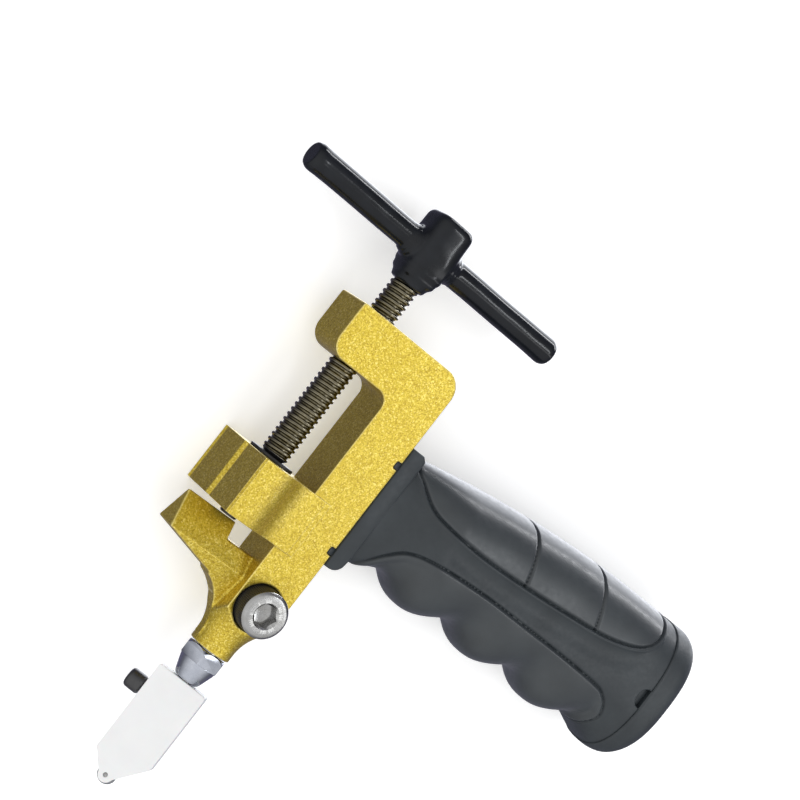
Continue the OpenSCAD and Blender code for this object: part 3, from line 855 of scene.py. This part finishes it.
def make_clamp_screw():
    low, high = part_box("clamp_screw")
    centre = mid("clamp_screw")
    length = (high.z - low.z) / MM
    head = (high.x - low.x) / 2 / MM
    head_h = 8.0
    seat = length - head_h
    shank = 4.0
    profile = [(0, 0), (shank - 0.5, 0), (shank, 0.6)]
    turns = int((seat - 1.2) / 0.625)
    for i in range(turns):
        profile += [(shank, 0.7 + 0.625 * i), (shank - 0.55, 1.0 + 0.625 * i), (shank, 1.3 + 0.625 * i)]
    profile += [(shank, seat), (head - 0.3, seat), (head, seat + 0.3)]
    rim = fillet([(head, seat + 0.3), (head, length - 0.75), (head - 0.75, length - 0.08),
        (head - 1.6, length), (0, length)], 0.28)
    foot = Vector((centre.x, centre.y, low.z))
    obj = lathe("screw", profile + rim[1:], foot, (0, 0, 1), around=KNURL_LINES)
    knurl(obj, centre, head)
    bottom = Vector((centre.x, centre.y, high.z - 4 * MM))
    mouth = Vector((centre.x, centre.y, high.z - 0.1 * MM))
    hexagon_r = 3.0 / math.cos(math.radians(30))
    carved(obj, prism("socket", (6, hexagon_r), 5, bottom, (0, 0, 1), turn=math.radians(8)))
    carved(obj, lathe("sink", [(0, -1.0), (2.7, -1.0), (4.1, 0.6), (0, 0.6)], mouth, (0, 0, 1)))
    carved(obj, lathe("drill", [(0, -1.5), (2.8, 0.05), (2.8, 0.6), (0, 0.6)], bottom, (0, 0, 1)))
    obj.data.materials.append(MAT["screw_steel"])
    obj.data.materials.append(MAT["black_steel"])
    # the knurled side of the head takes the black finish and its top the bright steel: the dark side is
    # painted shade
    for polygon in obj.data.polygons:
        reach = (polygon.center.to_2d() - centre.to_2d()).length
        polygon.material_index = int(abs(polygon.normal.z) < 0.4 and reach > (head - 0.5) * MM)
    shade_smooth(obj, 30)
    return finish_piece(obj, "clamp_cap_screw", "clamp_screw", "screw_steel", ["clamp_screw"])


make_clamp_screw()

# ---- cutter ----


def make_collar():
    low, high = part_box("hex_collar")
    radius = max(high.x - low.x, high.z - low.z) / 2 / MM
    af = min(high.x - low.x, high.z - low.z) / 2 / MM
    height = (high.y - low.y) / MM
    hexagon_h = 4.0
    foot = Vector((BARREL_X, low.y, ORIGIN.z))
    turn = 0.0 if high.x - low.x > high.z - low.z else math.radians(30)
    cone_h = height - hexagon_h
    seat = foot + Vector((0, cone_h * MM, 0))
    hexagon = prism("hexagon", (6, radius), hexagon_h, seat, (0, 1, 0), turn)
    turned = fillet([(0, cone_h - 0.5), (radius + 2.0, cone_h - 0.5), (radius - 0.1, height - 0.9),
        (radius - 0.75, height), (0, height)], 0.2)
    carved(hexagon, lathe("chamfer", turned, foot, (0, 1, 0), around=128), "INTERSECT")
    bevelled(hexagon, 0.14, 3, 25)
    taper = fillet([(0, 0), (3.45, 0), (3.9, 0.9), (af - 0.25, cone_h - 0.8), (af - 0.1, cone_h + 0.2),
        (0, cone_h + 0.2)], 0.5)
    obj = joined("collar", [hexagon, lathe("cone", taper, foot, (0, 1, 0), around=128)])
    shade_smooth(obj, 30)
    return finish_piece(obj, "collar_nut", "cutter_shank", "chrome_collar", ["hex_collar"])


make_collar()


def make_head():
    obj = melted(welded_copy("cutter_head"), 0.17, 6)
    return finish_piece(shade_smooth(obj), "head_shell", "cutter_head", "white_head", ["cutter_head"])


make_head()
LOW_LOCK, HIGH_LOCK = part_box("head_lock_screw")
HEAD_TURN = math.radians(-34)
HEAD_X = Vector((math.cos(HEAD_TURN), 0, -math.sin(HEAD_TURN)))
HEAD_Z = Vector((math.sin(HEAD_TURN), 0, math.cos(HEAD_TURN)))


def make_wheel():
    centre = mid("cutting_wheel")
    low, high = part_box("cutting_wheel")
    radius = (high.y - low.y) / 2 / MM
    half = 0.6
    profile = fillet([(0.65, -half), (radius - 0.62, -half), (radius - 0.02, 0), (radius - 0.62, half),
        (0.65, half)], 0.05, 2)
    obj = lathe("wheel", profile + [profile[0]], centre, HEAD_Z, around=96)
    finish_piece(shade_smooth(obj, 25), "scoring_wheel", "wheel", "carbide", ["cutting_wheel"])
    pin_half = 2.8
    pin_profile = fillet([(0, -pin_half), (0.45, -pin_half), (0.58, -pin_half + 0.15),
        (0.58, pin_half - 0.15), (0.45, pin_half), (0, pin_half)], 0.08, 2)
    pin = lathe("axle", pin_profile, centre, HEAD_Z, around=48)
    finish_piece(shade_smooth(pin, 35), "wheel_pin", "cutter_head", "inner_steel", ["wheel_axle"])


make_wheel()


def make_lock_screw():
    """Rounded black knob with a screwdriver slot, on a thin shank."""
    centre = mid("head_lock_screw")
    face = 7.65
    knob_l = 4.8
    y = centre.y
    foot = Vector((BARREL_X, y, ORIGIN.z)) - HEAD_X * face * MM
    profile = [(0, -(face - 1.4)), (1.3, -(face - 1.4)), (1.45, -(face - 1.6)), (1.45, 0.0), (2.2, 0.0)]
    for angle in (20, 45, 70, 90):
        a = math.radians(angle)
        profile.append((2.8 - 0.9 * (1 - math.sin(a)), 0.9 * (1 - math.cos(a))))
    for angle in (0, 20, 40, 60, 80):
        a = math.radians(angle)
        profile.append((2.8 - 1.1 * (1 - math.cos(a)), knob_l - 1.1 + 1.1 * math.sin(a)))
    profile += [(1.2, knob_l - 0.005), (0, knob_l)]
    obj = lathe("knob", profile, foot, -HEAD_X, around=96)
    slot = prism("slot", (4, 4.2), 0.8, Vector((0, 0, -0.0004)), (0, 0, 1), math.radians(45))
    slot.data.transform(Matrix.Translation(foot - HEAD_X * (knob_l + 0.9 + 1.2) * MM)
        @ Matrix((HEAD_X, HEAD_Z, Vector((0, 1, 0)))).transposed().to_4x4())
    carved(obj, slot)
    obj = bevelled(obj, 0.1, 2, 50)
    return finish_piece(shade_smooth(obj, 40), "lock_knob", "lock_screw", "black_knob", ["head_lock_screw"])


make_lock_screw()

# ---- grip ----

BACK_X = (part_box("frame")[1].x - ORIGIN.x) / MM
GRIP_END = (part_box("butt_cap")[1].x - ORIGIN.x) / MM
GRIP_W = (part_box("grip_core")[1].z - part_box("grip_core")[0].z) / MM
CAP_X = (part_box("grip_core")[1].x - ORIGIN.x) / MM
FLANGE_T = 5.3
NECK_TOP = 41.6
GRIP_TOP = 50.0
FINGER_Y = 9.3
FINGER_DEPTH = 1.7
FINGER_PITCH = 25.4
FIRST_FINGER = 28.9                      # the first swelling's place behind the frame
BUTT_R = 6.5


def ease(t):
    u = np.clip(t, 0, 1)
    return u * u * (3 - 2 * u)


def butt_in(x):
    u = np.maximum(0, (x - GRIP_END + BUTT_R) / BUTT_R)
    return BUTT_R * (1 - np.sqrt(np.maximum(0.0, 1 - u * u)))


def back_of(x):
    u = np.clip((x - BACK_X - FLANGE_T) / 78, 0, 1)
    return NECK_TOP + (GRIP_TOP - NECK_TOP) * (1 - (1 - u) ** 1.8)


def belly_of(x):
    return FINGER_Y - FINGER_DEPTH * np.cos(2 * np.pi * (x - BACK_X - FIRST_FINGER) / FINGER_PITCH)


def side_of(x):
    return 8.1 + (GRIP_W / 2 - 8.1) * ease((x - BACK_X - FLANGE_T + 2) / 22)


def curve_through(points, per=12):
    """Smooth line through given points (Catmull-Rom)."""
    pts = [points[0]] + list(points) + [points[-1]]
    made = []
    for a, b, c, d in zip(pts, pts[1:], pts[2:], pts[3:]):
        for i in range(per):
            t = i / per
            made.append([0.5 * (2 * q + (r - p) * t + (2 * p - 5 * q + 4 * r - s) * t ** 2
                + (3 * q - p - 3 * r + s) * t ** 3) for p, q, r, s in zip(a, b, c, d)])
    made.append(list(points[-1]))
    return np.array(made)


# seams of the soft pads in side view, in millimetres
PALM_SEAM = curve_through([(41.5, 52), (42.7, 41.6), (46, 38), (51, 34), (57, 32.6), (69, 31.9), (84, 32.4),
    (101, 33.7), (117, 35.4), (128, 38.6), (133, 43.2), (134.6, 49), (134.9, 54)])
FINGER_SEAM = curve_through([(43.5, 3), (46.7, 11), (49.3, 16.6), (53.3, 20.9), (61.5, 23), (79, 24),
    (101, 23.9), (122, 23.3), (128.4, 21.7), (132.4, 17.5), (132.4, 12.9), (130.5, 8), (128, 3)])


def side_distance(x, y, line):
    """Signed distance in side view from a seam; positive on the left of its direction."""
    best = np.full(x.shape, 1e9)
    sign = np.ones(x.shape)
    for (ax, ay), (bx, by) in zip(line, line[1:]):
        dx, dy = bx - ax, by - ay
        t = np.clip(((x - ax) * dx + (y - ay) * dy) / (dx * dx + dy * dy + 1e-12), 0, 1)
        ex, ey = x - (ax + t * dx), y - (ay + t * dy)
        d = np.hypot(ex, ey)
        closer = d < best
        best = np.where(closer, d, best)
        sign = np.where(closer, np.sign(dx * ey - dy * ex + 1e-9), sign)
    return best * sign


def gauss(d, width):
    return np.exp(-(d / width) ** 2)


def grip_rings(stations, around):
    """Points of the grip's skin before any relief: arrays (station, angle)."""
    a = 2 * np.pi * np.arange(2401) / 2400
    c, s = np.cos(a), np.sin(a)
    ys, zs = [], []
    for x in stations:
        hi, lo, inset = back_of(x), belly_of(x), butt_in(x)
        y = (hi + lo) / 2 + ((hi - lo) / 2 - inset) * np.sign(s) * np.abs(s) ** 0.77
        z = (side_of(x) - inset) * np.sign(c) * np.abs(c) ** 0.77
        length = np.concatenate([[0], np.cumsum(np.hypot(np.diff(y), np.diff(z)))])
        even = np.linspace(0, length[-1], around, endpoint=False)
        ys.append(np.interp(even, length, y))
        zs.append(np.interp(even, length, z))
    x = np.repeat(np.asarray(stations)[:, None], around, axis=1)
    return x, np.array(ys), np.array(zs)


def grid_normals(x, y, z):
    p = np.stack([x, y, z], axis=2)
    along = np.gradient(p, axis=0)
    round_ = np.roll(p, -1, axis=1) - np.roll(p, 1, axis=1)
    n = np.cross(round_, along)
    n /= np.linalg.norm(n, axis=2, keepdims=True) + 1e-12
    middle = (y.max(1, keepdims=True) + y.min(1, keepdims=True)) / 2
    outward = np.stack([0 * x, y - middle, z], 2)
    flip = np.sign((n * outward).sum(2, keepdims=True).mean())
    return n * flip


def relief(x, y):
    """How far the skin lies below the plain surface at a place in side view."""
    palm = side_distance(x, y, PALM_SEAM)
    finger = side_distance(x, y, FINGER_SEAM)
    deep = 0.85 * gauss(palm, 0.40) + 0.75 * gauss(finger, 0.38)
    below = np.maximum(0, -palm)
    core = (palm < 0) & (finger > 0)
    # the shell's ledge beside the palm pad, then a shallow trough
    ledge = 0.24 * ease((below - 1.15) / 0.35) * core
    ends = ease((x - 52) / 14) * ease((137 - x) / 9)
    trough = 0.85 * gauss(below - 4.2, 3.0) * ease(below / 2.5) * ends * core
    deep = deep + ledge + trough
    for at_top, at_seam in (((82.5, 47.7), (85.5, 33.5)), ((108.5, 49.2), (112.1, 35.8))):
        dx, dy = at_seam[0] - at_top[0], at_seam[1] - at_top[1]
        length = math.hypot(dx, dy)
        across = ((x - at_top[0]) * dy - (y - at_top[1]) * dx) / length
        deep = deep + 0.85 * gauss(across, 0.40) * (palm > 0)
    # hollows where the fingers lie
    for k in range(4):
        groove = BACK_X + FIRST_FINGER + (k - 0.5) * FINGER_PITCH + 2.0
        bowl = gauss(x - groove, 5.4) * gauss(y - 13.0, 7.0)
        deep = deep + 1.5 * bowl * ease((-finger - 0.6) / 2.4)
    return deep, palm, finger


def skin_regions(stations, around, regions):
    """Points of the grip's skin between two stations, and the faces of each region."""
    x, y, z = grip_rings(stations, around)
    n = grid_normals(x, y, z)
    deep, palm, finger = relief(x, y)
    p = np.stack([x, y, z], 2) - n * deep[:, :, None]
    points = [tool(*q) for q in p.reshape(-1, 3)]
    made = {key: [] for key in regions}
    for i in range(len(stations) - 1):
        for j in range(around):
            k = (j + 1) % around
            quad = (i * around + j, i * around + k, (i + 1) * around + k, (i + 1) * around + j)
            key = "core"
            if "palm" in made and palm[i, j] + palm[i + 1, k] > 0:
                key = "palm"
            elif "finger" in made and finger[i, j] + finger[i + 1, k] < 0:
                key = "finger"
            made[key].append(quad)
    return points, made


def pruned(obj):
    """Drops loose points and turns the faces outward."""
    work = bmesh.new()
    work.from_mesh(obj.data)
    bmesh.ops.delete(work, geom=[v for v in work.verts if not v.link_faces], context="VERTS")
    bmesh.ops.recalc_face_normals(work, faces=work.faces)
    work.to_mesh(obj.data)
    work.free()
    return obj


def skirted(obj, depth):
    """Gives an open skin a rim that goes inward, so that it reads as a thick moulding."""
    work = bmesh.new()
    work.from_mesh(obj.data)
    work.normal_update()
    rim = [e for e in work.edges if e.is_boundary]
    made = bmesh.ops.extrude_edge_only(work, edges=rim)
    fresh = [g for g in made["geom"] if isinstance(g, bmesh.types.BMVert)]
    for v in fresh:
        near = [e.other_vert(v) for e in v.link_edges if e.other_vert(v) not in fresh]
        if near:
            v.co -= near[0].normal * depth * MM
    bmesh.ops.recalc_face_normals(work, faces=work.faces)
    work.to_mesh(obj.data)
    work.free()
    return obj


def disc_with_hole(name, ring, hole_centre, hole_r, x):
    """Flat end face at x between the skin's ring and the bolt tunnel."""
    points = [tool(x, y, z) for y, z in ring]
    faces = []
    n = len(ring)
    inner = []
    for j in range(n):
        y, z = ring[j]
        a = math.atan2(z, y - hole_centre)
        inner.append(tool(x, hole_centre + hole_r * math.cos(a), hole_r * math.sin(a)))
    points += inner
    for j in range(n):
        k = (j + 1) % n
        faces.append((j, k, n + k, n + j))
    return new_object(name, points, faces)


def make_grip(bolt_y, tunnel, around):
    """Grip core with its two soft pads, the flange, the bolt's tunnel and the notch."""
    step = 0.25
    neck = BACK_X + FLANGE_T - 1.0
    stations = np.linspace(neck, CAP_X - 0.02, int((CAP_X - neck) / step))
    points, made = skin_regions(stations, around, ("core", "palm", "finger"))
    core = pruned(new_object("core", points, made["core"]))
    palm = skirted(pruned(new_object("palm", points, made["palm"])), 1.0)
    finger = skirted(pruned(new_object("finger", points, made["finger"])), 1.0)
    _, y, z = grip_rings(stations[-1:], around)
    end = disc_with_hole("end", list(zip(y[0], z[0])), bolt_y, tunnel, CAP_X - 0.02)
    tube = lathe("tube", [(tunnel, 0), (tunnel, 60)], tool(CAP_X - 60, bolt_y), (1, 0, 0), around=96)
    flange = make_flange()
    core = joined("core", [core, end, tube, flange])
    notch(core, bolt_y)
    finish_piece(shade_smooth(core, 40), "grip_shell", "frame", "grip_plastic", ["grip_core"])
    finish_piece(shade_smooth(palm, 60), "palm_soft_pad", "frame", "grip_soft", ["palm_pad"])
    finish_piece(shade_smooth(finger, 60), "finger_soft_pad", "frame", "grip_soft", ["finger_pad"])


def make_butt_cap(bolt_y, tunnel, around):
    """Rounded shell with a flat front and a plug."""
    u = np.linspace(0, 1, 48)
    start = CAP_X + 0.1
    bend = np.concatenate([np.linspace(start, GRIP_END - BUTT_R, 24, endpoint=False),
        GRIP_END - BUTT_R + BUTT_R * np.sin(u * np.pi / 2)])
    cx, cy, cz = grip_rings(bend, around)
    soft = 0.35 * (1 - ease((cx - start) / 0.7)) ** 2
    n = grid_normals(cx, cy, cz)
    p = np.stack([cx, cy, cz], 2) - n * soft[:, :, None]
    cap_points = [tool(*q) for q in p.reshape(-1, 3)]
    faces = []
    rows = len(bend)
    for i in range(rows - 1):
        for j in range(around):
            k = (j + 1) % around
            faces.append((i * around + j, i * around + k, (i + 1) * around + k, (i + 1) * around + j))
    faces.append([(rows - 1) * around + j for j in range(around)])
    cap = new_object("cap", cap_points, faces)
    front = disc_with_hole("front", [(q[1], q[2]) for q in p[0]], bolt_y, tunnel - 0.1, start)
    plug = lathe("plug", fillet([(0, 0), (tunnel - 0.6, 0), (tunnel - 0.1, 0.6), (tunnel - 0.1, 8.1)], 0.2),
        tool(CAP_X - 8, bolt_y), (1, 0, 0), around=96)
    cap = pruned(joined("cap", [cap, front, plug]))
    return finish_piece(shade_smooth(cap, 40), "butt_cap_shell", "butt_cap", "grip_plastic", ["butt_cap"])


def make_flange():
    """Flange plate with its two keys, edges rounded."""
    parts = []

    def block(x0, x1, y0, y1, half):
        corners = [(x, y, z) for x in (x0, x1) for y in (y0, y1) for z in (-half, half)]
        faces = [(0, 1, 3, 2), (4, 6, 7, 5), (0, 4, 5, 1), (2, 3, 7, 6), (0, 2, 6, 4), (1, 5, 7, 3)]
        return new_object("block", [tool(*c) for c in corners], faces)

    back, half = BACK_X + FLANGE_T, 8.0
    fillet_r = 3.4
    side = [(BACK_X + 0.02, 5.0), (BACK_X + 1.6, 5.0)]
    side += [(BACK_X + 1.6 + fillet_r * math.sin(a), 5.0 + fillet_r * (1 - math.cos(a)))
        for a in np.linspace(0.3, np.pi / 2, 8)]
    side += [(back, 11), (back, 42.0), (back - 1.4, 43.1), (BACK_X + 0.02, 43.1)]
    count = len(side)
    corners = [tool(x, y, -half) for x, y in side] + [tool(x, y, half) for x, y in side]
    faces = [list(range(count))[::-1], list(range(count, 2 * count))]
    faces += [(i, (i + 1) % count, count + (i + 1) % count, count + i) for i in range(count)]
    parts.append(bevelled(new_object("plate", corners, faces), 0.5, 4, 40))
    for y in (7.9, 35.8):
        key = block(BACK_X - 1.4, BACK_X + 0.6, y + 0.1, y + 2.1, 7.5)
        parts.append(bevelled(key, 0.2, 2, 30))
    return joined("flange", parts)


def notch(core, bolt_y):
    """Half-moon pry notch beside the cap's seam on the near side."""
    low_z = (GRIP_W / 2 - 1.5) * MM
    centre = tool(CAP_X, bolt_y + 1.0)
    for vertex in core.data.vertices:
        co = vertex.co
        reach = math.hypot(co.x - centre.x, co.y - centre.y)
        inside = 1 - min(1.0, max(0.0, (reach / MM - 2.75) / 0.25))
        if co.z > ORIGIN.z + low_z - 2 * MM and inside > 0:
            co.z -= 1.6 * MM * inside
    core.data.update()


BOLT_Y = (mid("grip_bolt").y - ORIGIN.y) / MM
BOLT_TUNNEL = 6.2                        # radius of the hole for the grip bolt
SKIN_AROUND = 400
make_grip(BOLT_Y, BOLT_TUNNEL, SKIN_AROUND)
make_butt_cap(BOLT_Y, BOLT_TUNNEL, SKIN_AROUND)

# ---- CAD nodes that keep their shape: hidden steel, given their finish ----


def dress(node, material):
    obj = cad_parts[node]
    obj.data.materials.clear()
    obj.data.materials.append(MAT[material])
    bevel = obj.modifiers.new("bevel", "BEVEL")
    bevel.width = 0.12 * MM
    bevel.segments = 2
    bevel.limit_method = "ANGLE"
    bevel.angle_limit = math.radians(40)


for inner in ("hub_core", "hub_pin", "cross_bar"):
    dress(inner, "inner_steel")
for bright in ("grip_bolt", "grip_bolt_washer", "cutter_shank"):
    dress(bright, "screw_steel")
dress("retaining_clip", "black_steel")

bpy.context.view_layer.update()
